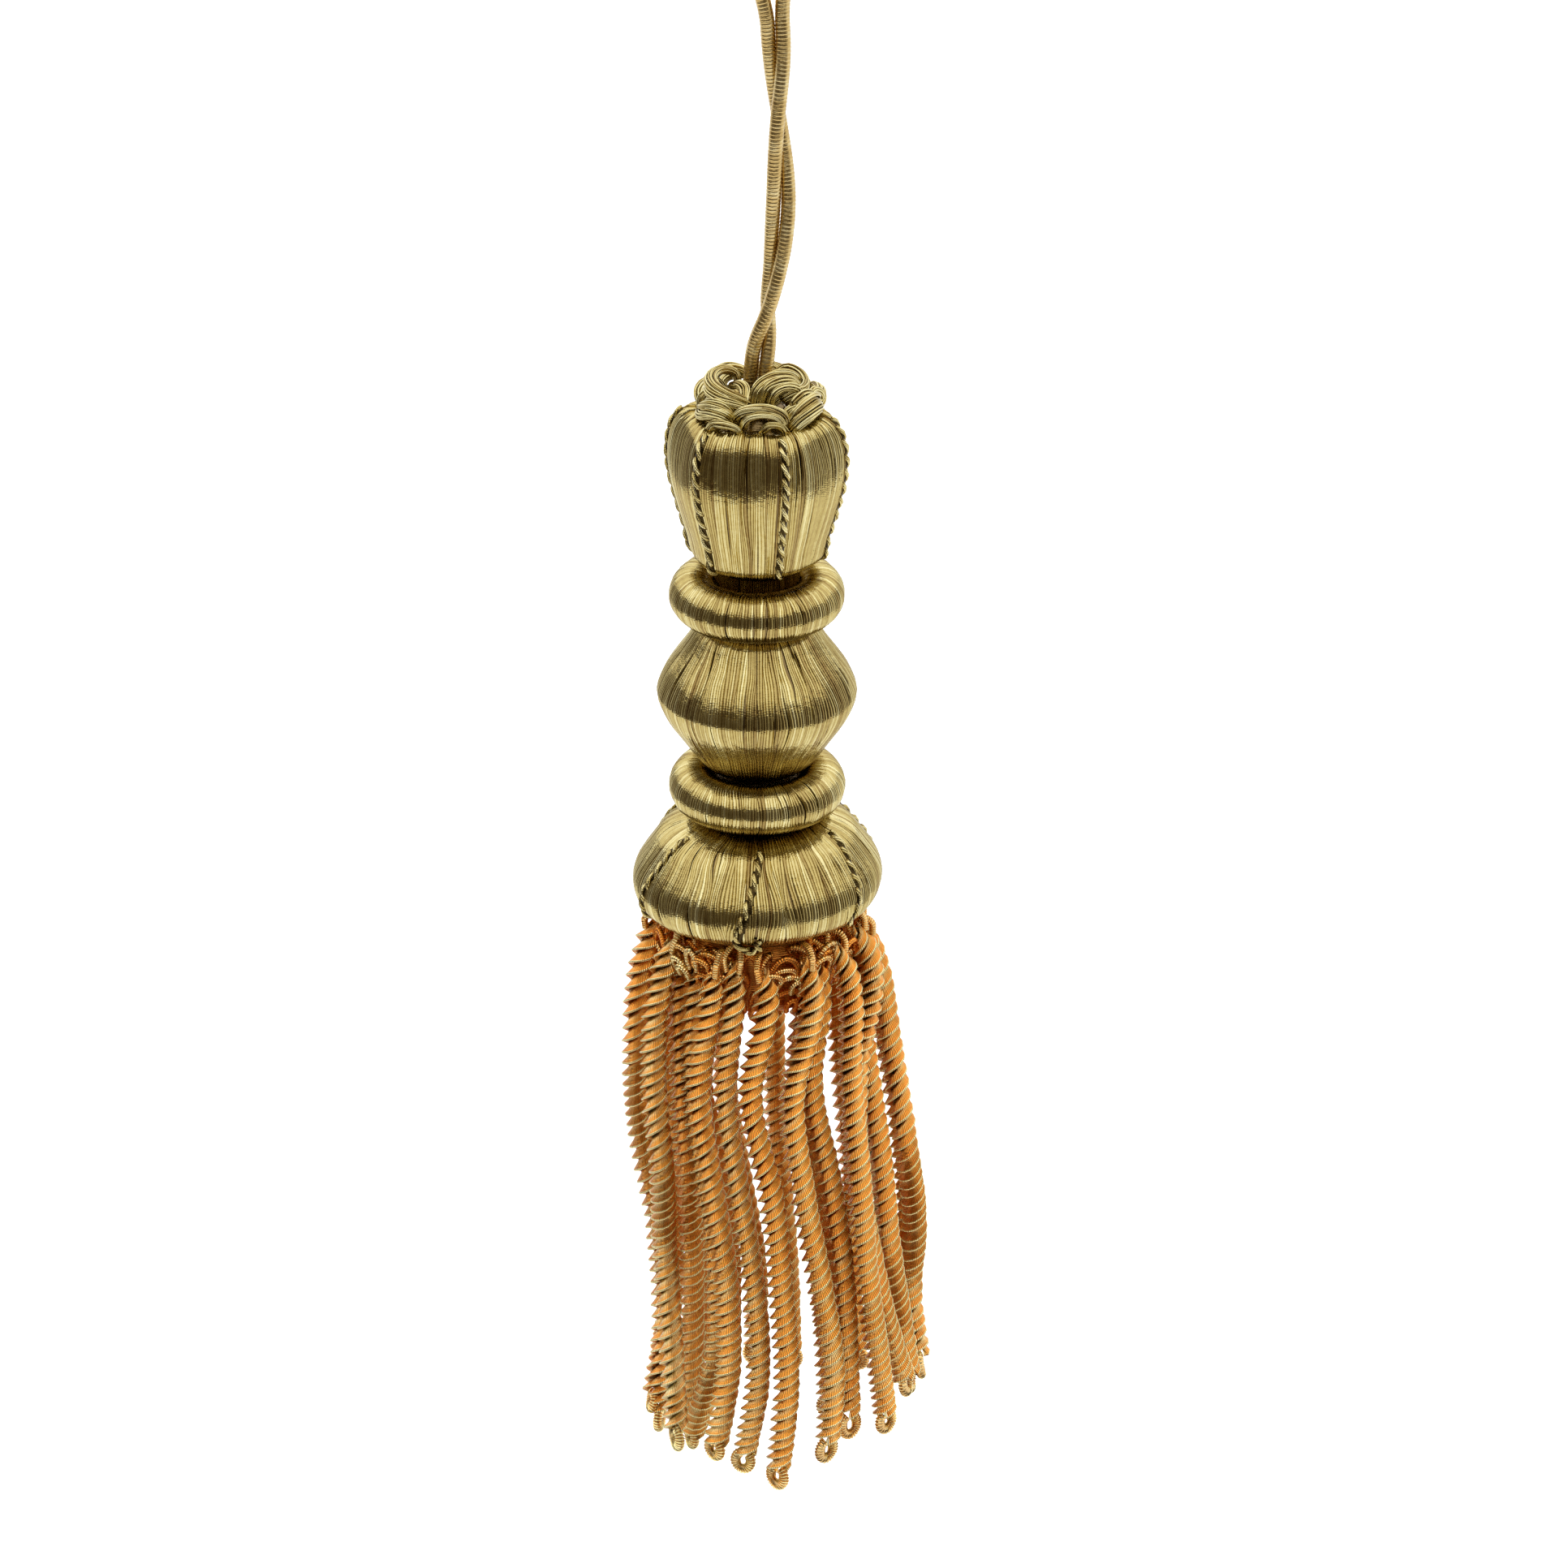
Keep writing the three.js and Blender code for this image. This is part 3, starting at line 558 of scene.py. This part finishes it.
ROSETTE = [  # half width, half thickness and roll of a bundle of threads, then points x, y, height on its way
    (0.62, 0.40, 20, [(-0.34, -2.9, 46.28), (-1.73, -3.3, 47.1), (-3.39, -3.0, 47.72), (-4.53, -2.0, 48.08), (-4.98, -0.6, 48.36),
                      (-4.56, 0.9, 48.61), (-3.25, 2.0, 48.55), (-2.3, 2.3, 48.0), (-1.95, 2.0, 47.0)]),
    (0.55, 0.34, 60, [(-0.86, -3.5, 46.2), (-2.51, -3.8, 47.0), (-4.0, -3.2, 47.3), (-4.9, -2.2, 47.5), (-5.1, -0.8, 47.5),
                      (-4.6, 0.6, 47.3)]),
    (0.60, 0.40, 20, [(2.62, -2.8, 47.0), (3.84, -2.5, 47.62), (4.89, -1.4, 47.4), (5.24, 0.2, 47.5), (4.55, 1.8, 48.07),
                      (3.15, 2.7, 48.28), (2.2, 2.5, 47.8)]),
    (0.50, 0.34, 40, [(-0.2, -3.2, 46.2), (-0.25, -2.9, 47.2), (0.2, -2.5, 48.3), (1.2, -1.9, 49.0), (2.6, -1.1, 49.2),
                      (3.9, -0.2, 48.7), (4.7, 0.5, 47.6)]),
    (0.52, 0.34, 40, [(0.6, -3.4, 46.1), (0.6, -3.1, 47.3), (1.05, -2.9, 48.4), (2.19, -2.5, 48.9), (3.76, -1.6, 48.57),
                      (4.72, -0.9, 47.5)]),
    (0.52, 0.34, 40, [(1.5, -3.7, 46.0), (1.55, -3.4, 47.1), (2.05, -3.2, 48.0), (2.97, -2.8, 48.4), (4.19, -2.2, 48.1),
                      (4.95, -1.8, 47.0)]),
    (0.46, 0.30, 50, [(-1.1, -3.3, 46.0), (-1.2, -2.8, 47.2), (-1.3, -2.0, 47.9), (-1.9, -1.2, 48.1), (-2.9, -0.4, 47.6)]),
    (0.46, 0.36, 80, [(-2.51, -4.9, 44.83), (-1.99, -5.3, 46.21), (-0.16, -5.6, 47.0), (1.84, -5.5, 46.85), (3.06, -5.2, 45.99),
                      (3.41, -5.0, 44.5)]),
    (0.40, 0.34, 80, [(-1.55, -5.5, 44.42), (-0.94, -5.8, 45.9), (0.71, -6.0, 46.45), (2.19, -5.9, 46.1), (2.97, -5.7, 45.0)]),
    (0.36, 0.30, 80, [(0.45, -6.0, 44.3), (1.41, -6.2, 45.3), (2.62, -6.1, 45.2), (3.23, -5.8, 44.3)]),
    (0.42, 0.30, 60, [(-5.12, -5.2, 44.47), (-4.59, -5.6, 45.2), (-3.2, -6.0, 45.3), (-2.16, -6.1, 44.95), (-1.73, -6.0, 44.2)]),
    (0.66, 0.42, 30, [(-2.4, -4.4, 45.1), (-3.6, -4.8, 46.0), (-4.9, -4.3, 46.0), (-5.8, -3.3, 45.5), (-6.0, -2.0, 45.2),
                      (-5.6, -1.0, 44.9)]),
    (0.58, 0.38, 40, [(-2.3, -3.8, 45.6), (-3.4, -4.1, 46.7), (-4.7, -3.6, 46.8), (-5.6, -2.6, 46.3), (-6.0, -1.4, 45.6)]),
    (0.34, 0.30, 60, [(-6.1, -1.9, 45.8), (-5.9, -1.5, 46.8), (-5.3, -1.4, 47.2), (-4.7, -1.7, 46.8), (-4.5, -2.2, 46.0)]),
    (0.62, 0.40, 30, [(3.67, -5.3, 44.34), (4.45, -5.5, 45.36), (5.58, -5.0, 46.1), (6.45, -3.8, 46.3), (6.8, -2.4, 45.9),
                      (6.6, -1.2, 45.2)]),
    (0.56, 0.36, 40, [(3.49, -4.9, 44.83), (4.19, -5.0, 46.1), (5.2, -4.4, 46.95), (6.1, -3.3, 47.2), (6.5, -2.1, 46.8),
                      (6.3, -1.0, 45.9)]),
    (0.40, 0.32, 60, [(3.58, -3.8, 46.0), (4.19, -3.9, 47.2), (5.06, -3.2, 47.7), (5.76, -2.4, 47.4), (5.6, -2.0, 46.4)]),
    (0.44, 0.32, 60, [(2.9, -4.3, 45.0), (3.4, -4.2, 46.2), (4.3, -3.8, 46.6), (5.2, -3.1, 46.2)]),
    (0.36, 0.30, 50, [(5.85, -1.3, 46.7), (6.2, -0.8, 47.2), (6.82, -0.1, 46.8), (7.0, 0.4, 45.9), (6.7, 0.9, 45.1)]),
    (0.62, 0.40, 30, [(-5.7, 0.2, 45.0), (-6.2, 1.3, 45.9), (-5.7, 3.1, 46.4), (-4.6, 4.4, 46.3), (-3.4, 4.7, 45.2)]),
    (0.60, 0.40, 30, [(-4.0, 4.4, 45.0), (-3.4, 5.6, 46.1), (-1.5, 6.2, 46.5), (0.6, 6.1, 46.1), (1.6, 5.4, 45.0)]),
    (0.60, 0.40, 30, [(0.9, 5.4, 45.0), (2.0, 6.1, 46.2), (3.9, 5.5, 46.5), (5.3, 4.2, 46.2), (5.5, 3.0, 45.1)]),
    (0.60, 0.40, 30, [(5.2, 3.6, 45.0), (6.3, 3.0, 46.1), (6.9, 1.4, 46.3), (6.6, 0.0, 45.6), (5.8, -0.6, 45.0)]),
    (0.58, 0.40, 30, [(-4.4, 0.9, 46.6), (-4.4, 2.3, 47.9), (-2.9, 3.6, 48.2), (-1.2, 3.7, 47.6), (-0.5, 3.0, 46.6)]),
    (0.58, 0.40, 30, [(-1.0, 2.9, 46.6), (-0.3, 4.0, 47.7), (1.5, 4.2, 48.1), (3.0, 3.4, 47.7), (3.4, 2.4, 46.6)]),
    (0.50, 0.36, 50, [(1.6, -2.6, 46.3), (2.4, -2.3, 46.9), (3.3, -2.1, 46.9), (4.1, -1.9, 46.3)]),
]


def rosette():
    heap = Heap()
    rng = np.random.default_rng(61)
    for half_wide, half_thin, roll, points in ROSETTE:
        path = smooth_path(points, 20)
        t, n, b = carried_frame(path, np.array([0.0, 0.0, 1.0]))
        s = lengths(path) / lengths(path)[-1]
        turn = math.radians(roll) + 0.7 * (s - 0.5)
        wide = np.cos(turn)[:, None] * n + np.sin(turn)[:, None] * b
        thin = np.cross(t, wide)
        swell = 0.80 + 0.32 * np.sin(math.pi * s) ** 0.8
        strands = int(round(17 * (half_wide + half_thin)))
        twist = rng.uniform(-1.3, 1.3)
        for k in range(strands):
            a = (k + 0.25 * rng.standard_normal()) * TAU / strands + twist * (s - 0.5)
            w = half_wide * swell * (1 + 0.12 * wander(rng, len(s), 8))
            h = half_thin * swell * (1 + 0.14 * wander(rng, len(s), 8))
            stray = np.stack([0.10 * wander(rng, len(s), 7) for _ in range(3)], 1)
            line = path + wide * (np.cos(a) * w)[:, None] + thin * (np.sin(a) * h)[:, None]
            heap.tube(line + stray, 0.10 + 0.015 * rng.random(), 5, tone=0.62 + 0.18 * rng.standard_normal(), phase=rng.random() * 9)
        # A core inside the bundle, painted darker than its threads as the shade there.
        heap.tube(path, 0.6 * half_thin * swell, 8, tone=0.25)
    # A dish under the loops, painted dark (tone -0.5) as the shade in their hollows.
    turn = np.arange(40) * TAU / 40
    profile = smooth_path([(2.0, 42.2), (4.6, 42.2), (4.8, 42.6), (3.9, 43.6), (2.9, 45.3), (2.0, 45.7)], 20)
    heap.sweep(polar(turn[None], profile[:, :1], profile[:, 1:]), -0.5)
    heap.build("rosette_loops", HEAD, ["rosette"])


rosette()

# ---------------------------------------------------------------- bullion

ROOT_HEIGHT, ROOT_RADIUS = -16.4, 11.0
SKIRT = [  # height, radius of the ring of strands, sway to +X
    (-20, 12.4, 0.1), (-32, 14.1, 0.65), (-44, 14.8, 2.0), (-56, 14.4, 3.3), (-68, 14.0, 3.5), (-80, 14.3, 3.7),
]
STRANDS = [  # azimuth at the five upper heights and at the end, drop of the end, thickness, depth inside the ring at top, middle and end
    (-113, -112, -110, -112, -116, -98, 80.5, 2.7, 0.2, 0.2, -1.9),
    (-82, -80, -92, -98, -103, -97, 82.4, 2.75, -0.5, -0.6, -1.0),
    (-58, -59, -58, -71, -70, -63, 80.0, 2.75, -0.2, -0.3, -0.4),
    (-57, -53, -56, -69, -79, -84, 80.2, 2.7, 2.6, 2.8, 2.6),
    (-43, -44, -44, -45, -48, -78, 82.6, 2.65, 2.6, 3.0, 2.6),
    (-24, -31, -29, -29, -30, -38, 79.0, 2.75, 0.0, 0.1, 0.2),
    (-13, -18, -17, -16, -15, -23, 79.5, 2.65, 0.3, 0.4, 0.5),
    (4, -6, -2, -3, -1, -6, 80.7, 2.8, -0.2, 0.0, 0.2),
    (28, 13, 12, 15, 21, 17, 77.5, 2.75, -0.2, 0.0, 0.2),
    (39, 27, 30, 32, 35, 34, 76.2, 2.65, 1.9, 2.8, 2.2),
    (53, 44, 40, 39, 47, 50, 76.4, 2.7, 0.1, 0.2, 0.0),
    (76, 52, 45, 48, 64, 73, 74.4, 2.7, -0.3, 1.8, 0.4),
    (86, 86, 80, 96, 104, 96, 75.2, 2.7, -0.3, -0.2, -0.8),
    (84, 70, 65, 64, 81, 84, 75.5, 2.7, 2.2, 1.8, 0.4),
    (38, 25, 24, 25, 28, 27, 74.7, 2.65, 4.6, 5.4, 4.6),
    (-98, -97, -100, -106, -108, -104, 79.0, 2.7, 1.2, 3.2, 2.4),
    (-125, -124, -121, -123, -127, -118, 79.2, 2.7, 0.0, 0.1, 0.0),
    (-137, -136, -133, -134, -138, -132, 78.4, 2.7, 0.0, 0.2, 0.2),
    (-150, -148, -144, -145, -150, -148, 79.6, 2.7, 0.0, 0.1, 0.2),
    (-164, -161, -156, -157, -163, -163, 80.6, 2.7, 0.0, 0.2, 0.3),
    (173, 176, -179, -176, -179, 180, 81.6, 2.7, 0.0, 0.1, 0.1),
    (157, 160, 164, 166, 163, 160, 79.4, 2.7, 0.0, 0.2, 0.3),
    (141, 144, 148, 149, 150, 146, 80.0, 2.7, 0.0, 0.1, 0.2),
    (126, 128, 134, 130, 133, 131, 78.1, 2.7, 0.0, 0.3, 0.2),
    (104, 103, 103, 107, 115, 107, 76.8, 2.7, 0.1, 0.3, -0.3),
]
CREST = [1.5, 1.5, 1.46, 1.45, 1.45, 1.44, 1.5, 1.43, 1.47, 1.47, 1.28, 1.42, 1.52, 1.45, 1.45, 1.5, 1.45, 1.42, 1.5,
         1.47, 1.44, 1.5, 1.42, 1.46, 1.5]  # distance between neighbouring turns of each strand
PLIES = 3
# The tone column paints a highlight on the rim, shade just inside it and lighter bounced light at the root.
BLADE = [  # section of one turn of gimp: distance from the axis in half thicknesses, height below it in crests, tone
    (1.0, 0.02, 1.1), (0.987, 0.068, 0.95), (0.943, 0.088, 0.50), (0.47, 0.24, 0.70),
    (0.47, -0.76, 0.70), (0.63, -0.51, 0.62), (0.79, -0.29, 0.44), (0.93, -0.105, 0.3), (0.957, -0.072, 0.95), (0.987, -0.045, 1.1),
]


def strand_line(row):
    """Middle line of a strand from its root to its end, as points close together."""
    at, end, drop, inside = row[:5], row[5], row[6], row[8:]
    top, middle, foot = inside
    depth = [top, 0.4 * top + 0.6 * middle, middle, 0.75 * middle + 0.25 * foot, 0.35 * middle + 0.65 * foot]
    height = [ROOT_HEIGHT] + [k[0] for k in SKIRT[:5]] + [-drop]
    radius = [ROOT_RADIUS - top] + [k[1] - d for k, d in zip(SKIRT[:5], depth)] + [SKIRT[5][1] - foot]
    sway = [0.0] + [k[2] for k in SKIRT[:5]] + [SKIRT[5][2]]
    azimuth = np.radians([at[0], *at, end])
    x = np.array(radius) * np.sin(azimuth) + sway
    y = -np.array(radius) * np.cos(azimuth)
    v = np.linspace(ROOT_HEIGHT, -drop, 500)
    return np.stack([along(height, x, v), along(height, y, v), v], 1), azimuth[-1]


def bullion_strand(heap, row, crest, rng):
    line, azimuth = strand_line(row)
    half = row[7] * 0.555
    s = lengths(line)
    body = s[-1] - 1.25                      # the loop at the end hangs below the twisted part
    first = 0.2 + 1.5 * rng.random()          # the strands do not all begin at one height
    per_turn = 14
    lead = PLIES * crest
    count = int((body - first) / lead * per_turn)
    at = np.linspace(first, body, count)
    path = np.stack([np.interp(at, s, c) for c in line.T], 1)
    t, n, b = carried_frame(path, np.array([math.sin(azimuth), -math.cos(azimuth), 0.0]))
    pace = 1 + 0.10 * wander(rng, count, per_turn * 2.5)
    pace *= 1 - 0.22 * ease((at - body + 8) / 8)          # tighter towards the end
    pace *= 1 + 0.12 * ease((5 - at) / 5)                 # looser at the root
    turn = np.concatenate([[0.0], np.cumsum(TAU * np.diff(at) / lead / pace[1:])])
    facing = np.array([math.cos(azimuth), math.sin(azimuth), 0.0])     # tangent of the skirt
    aim = math.atan2(facing @ b[-1], facing @ n[-1]) + math.radians(18) * rng.standard_normal()
    turn = turn - turn[-1] + aim
    reach, rise, shade = np.array(BLADE).T
    loose = 1 + 0.12 * ease((4 - at) / 4)
    tone_strand = 0.07 * rng.standard_normal()
    for ply in range(PLIES):
        a = turn + ply * TAU / PLIES
        out = np.cos(a)[:, None] * n + np.sin(a)[:, None] * b
        wide = half * loose * (0.45 + 0.55 * ease((at - first) / 2.2)) * (1 + 0.035 * wander(rng, count, 7) + 0.03 * wander(rng, count, 40))
        tall = crest * pace * (1 + 0.04 * wander(rng, count, 9))
        sag = 0.10 * crest * wander(rng, count, 8)
        ring = (path[:, None]
                + out[:, None] * (wide[:, None] * reach[None])[:, :, None]
                + t[:, None] * (sag[:, None] * reach[None] + tall[:, None] * rise[None])[:, :, None])
        run = np.cumsum(np.concatenate([[0], np.linalg.norm(np.diff(path + out * wide[:, None], axis=0), axis=1)]))
        # Tone: the section's painted highlight and shade, random changes, and painted light growing towards the lower
        # end.
        tone = shade[None] + (tone_strand + 0.08 * wander(rng, count, 11) + 0.10 * wander(rng, count, 3) + 0.14 * ease((at - 35) / 35))[:, None]
        heap.sweep(ring, tone, phase=rng.random() * 5, run=run)
        if ply < 2:
            # The hooks are painted lighter than the strand, as highlight.
            hook(heap, path[0], t[0], out[0], half, 0.66 + tone_strand, rng)
    end_loop(heap, path[-1], t[-1], np.cos(turn[-1]) * n[-1] + np.sin(turn[-1]) * b[-1], half, 0.5 + tone_strand, rng)


def end_loop(heap, foot, down, out, half, tone, rng):
    """The eyelet where the gimp turns back at the end of a strand."""
    big = half * (0.62 + 0.03 * rng.standard_normal())
    tall = big * (1.1 + 0.08 * rng.standard_normal())
    centre = foot + down * (tall + 0.15)
    beta = np.radians(np.linspace(-66, 246, 150))
    line = centre + out * (big * np.cos(beta))[:, None] + down * (tall * np.sin(beta))[:, None]
    line = smooth_path(line, 150)
    s = lengths(line)
    t = unit(np.gradient(line, axis=0))
    side = unit(np.cross(out, down))
    away = np.cross(t, side)
    if ((line[75] - centre) @ away[75]) < 0:
        away = -away
    rib = 1 + 0.13 * np.cos(s / 0.27 * TAU)
    lean = 0.25 * np.sin(np.linspace(0, math.pi, 150))
    angle = np.arange(10) * TAU / 10
    thin, fat = half * 0.34, half * 0.38
    ring = (line[:, None]
            + away[:, None] * (fat * rib[:, None] * np.cos(angle)[None])[:, :, None]
            + side * (thin * rib[:, None] * np.sin(angle)[None] + lean[:, None] * 0)[:, :, None])
    # Painted highlight on the crests of the ribs and painted shade between them.
    heap.sweep(ring, tone + 0.30 + 1.5 * (rib - 1))


def gimp(heap, points, radius, tone, count=60):
    """A short length of gimp, its wire standing out as ribs, painted lighter on their crests and darker between them as
    highlight and shade.
    """
    path = smooth_path(points, count)
    rib = 1 + 0.13 * np.cos(lengths(path) / 0.27 * TAU)
    heap.tube(path, radius * rib, 6, tone=tone + 1.6 * (rib - 1))


def hook(heap, top, down, out, half, tone, rng):
    """The gimp of one ply where it comes over the heading into the top of its strand."""
    inward = unit(-top * [1.0, 1.0, 0.0])
    high = 1.5 + 0.9 * rng.random()
    aside = 0.5 * rng.standard_normal() * np.cross(inward, down)
    gimp(heap, [top + out * half * 0.62 + down * 0.5,
                top + out * half * 0.80 - down * 0.45 * high - inward * 0.25,
                top + out * half * 0.50 - down * 0.95 * high + aside * 0.5,
                top - down * 1.0 * high + inward * 1.1 + aside,
                top - down * 0.5 * high + inward * 2.3 + aside], 0.41, tone, 46)


def heading(heap, rng):
    """Arches of gimp from strand to strand under the bell, round a core painted dark as the shade there."""
    order = sorted(STRANDS, key=lambda row: row[0])
    for row, after in zip(order, order[1:] + order[:1]):
        a0, a1 = row[0], after[0]
        if a1 < a0:
            a1 += 360
        r0, r1 = ROOT_RADIUS - row[8], ROOT_RADIUS - after[8]
        share = np.linspace(0, 1, 7)
        az = np.radians(a0 + (a1 - a0) * (0.1 + 0.8 * share))
        radius = r0 + (r1 - r0) * share - 0.3 + 0.5 * np.sin(math.pi * share) + 0.4 * rng.standard_normal()
        height = -18.9 + (2.6 + 0.5 * rng.standard_normal()) * np.sin(math.pi * share) ** 0.7
        gimp(heap, polar(az, np.minimum(radius, 11.6), height), 0.36, 0.30 + 0.10 * rng.standard_normal(), 50)
    for k in range(64):
        a0, r0, h0 = TAU * rng.random(), rng.uniform(9.0, 10.4), rng.uniform(-24.2, -17.0)
        if k % 2:                                        # half of them further out, between the tops of the strands
            r0, h0 = rng.uniform(10.4, 11.9), rng.uniform(-21.0, -17.4)
        wide, tall = rng.uniform(0.5, 1.5), rng.uniform(0.8, 1.9)
        beta = np.linspace(-0.5, math.pi + 0.5, 7)
        # The outer loops are painted lighter and the inner ones darker, as the shade under the bell.
        gimp(heap, polar(a0 + wide * np.cos(beta) / r0, r0 + 0.5 * np.sin(beta), h0 + tall * np.sin(beta)), 0.34,
             rng.uniform(0.10, 0.55) + 0.30 * (k % 2), 36)
    # The core is painted dark as the shade under the bell.
    turn = np.arange(48) * TAU / 48
    profile = smooth_path([(6.8, -24.7), (8.1, -24.3), (8.9, -20.5), (8.8, -15.4), (8.2, -14.9), (6.8, -14.9)], 16)
    heap.sweep(polar(turn[None], profile[:, :1], profile[:, 1:]), 0.0)


def bullion():
    rng = np.random.default_rng(71)
    order = sorted(range(len(STRANDS)), key=lambda k: STRANDS[k][3])
    for group in range(4):
        heap = Heap()
        for k in order[group * 7:group * 7 + 7]:
            bullion_strand(heap, STRANDS[k], CREST[k], rng)
        heap.build("bullion_strands_%d" % (group + 1), BULLION, ["bullion_skirt"])
    heap = Heap()
    heading(heap, rng)
    heap.build("bullion_heading", BULLION, ["bullion_skirt"])


bullion()

# ---------------------------------------------------------------- studio


def studio():
    world = bpy.data.worlds.new("studio")
    scene.world = world
    world.use_nodes = True
    tree = world.node_tree
    tree.nodes.clear()

    def node(kind, **values):
        made = tree.nodes.new(kind)
        for key, value in values.items():
            setattr(made, key, value)
        return made

    def math_node(operation, a, b=None, clamp=False):
        made = node("ShaderNodeMath", operation=operation, use_clamp=clamp)
        for socket, value in ((0, a), (1, b)):
            if value is None:
                continue
            if isinstance(value, (int, float)):
                made.inputs[socket].default_value = value
            else:
                tree.links.new(value, made.inputs[socket])
        return made.outputs[0]

    def step(value, low, high):
        made = node("ShaderNodeMapRange", interpolation_type="SMOOTHSTEP")
        tree.links.new(value, made.inputs["Value"])
        made.inputs["From Min"].default_value = low
        made.inputs["From Max"].default_value = high
        return made.outputs["Result"]

    place = node("ShaderNodeTexCoord")
    split = node("ShaderNodeSeparateXYZ")
    tree.links.new(place.outputs["Generated"], split.inputs["Vector"])
    x, y, z = (split.outputs[k] for k in "XYZ")
    flat = math_node("SQRT", math_node("ADD", math_node("MULTIPLY", x, x), math_node("MULTIPLY", y, y)))
    turned = math_node("ADD", math_node("MULTIPLY", x, 0.375), math_node("MULTIPLY", y, 0.927))
    back = math_node("DIVIDE", turned, math_node("MAXIMUM", flat, 0.001))
    above = step(z, 0.36, 0.50)
    below = step(math_node("MULTIPLY", z, -1.0), 0.44, 0.50)
    behind = step(back, -0.50, 0.38)
    band = math_node("SUBTRACT", 1.0, math_node("ADD", above, below))
    side = math_node("ADD", 0.12, math_node("MULTIPLY", behind, 0.95))
    light = math_node("ADD", math_node("MULTIPLY", above, 1.35),
                      math_node("ADD", math_node("MULTIPLY", below, 1.2), math_node("MULTIPLY", band, side)))
    soft = node("ShaderNodeBackground")
    tint = node("ShaderNodeMix", data_type="RGBA")          # the darker room in front is warmer than the white round it
    tint.inputs["A"].default_value = (1.0, 0.84, 0.66, 1)
    tint.inputs["B"].default_value = (1, 1, 1, 1)
    tree.links.new(step(light, 0.15, 0.7), tint.inputs["Factor"])
    tree.links.new(tint.outputs["Result"], soft.inputs["Color"])
    tree.links.new(light, soft.inputs["Strength"])
    plain = node("ShaderNodeBackground")
    plain.inputs["Color"].default_value = (1, 1, 1, 1)
    plain.inputs["Strength"].default_value = 1.0
    ray = node("ShaderNodeLightPath")
    mix = node("ShaderNodeMixShader")
    tree.links.new(ray.outputs["Is Camera Ray"], mix.inputs["Fac"])
    tree.links.new(soft.outputs[0], mix.inputs[1])
    tree.links.new(plain.outputs[0], mix.inputs[2])
    out = node("ShaderNodeOutputWorld")
    tree.links.new(mix.outputs[0], out.inputs["Surface"])

    mesh = bpy.data.meshes.new("floor")
    size, low = 4.0, -1.2
    mesh.from_pydata([(-size, -size, low), (size, -size, low), (size, size, low), (-size, size, low)], [], [(0, 1, 2, 3)])
    floor = bpy.data.objects.new("floor", mesh)
    pale = bpy.data.materials.new("floor_pale")
    pale.use_nodes = True
    shader = pale.node_tree.nodes["Principled BSDF"]
    shader.inputs["Base Color"].default_value = (0.9, 0.9, 0.9, 1)
    shader.inputs["Roughness"].default_value = 0.9
    shader.inputs["Emission Color"].default_value = (1, 1, 1, 1)
    shader.inputs["Emission Strength"].default_value = 0.6
    mesh.materials.append(pale)
    scene.collection.objects.link(floor)
    floor.visible_glossy = False
    floor.visible_diffuse = False
    scene.view_settings.view_transform = "Standard"
    scene.view_settings.look = "None"


studio()
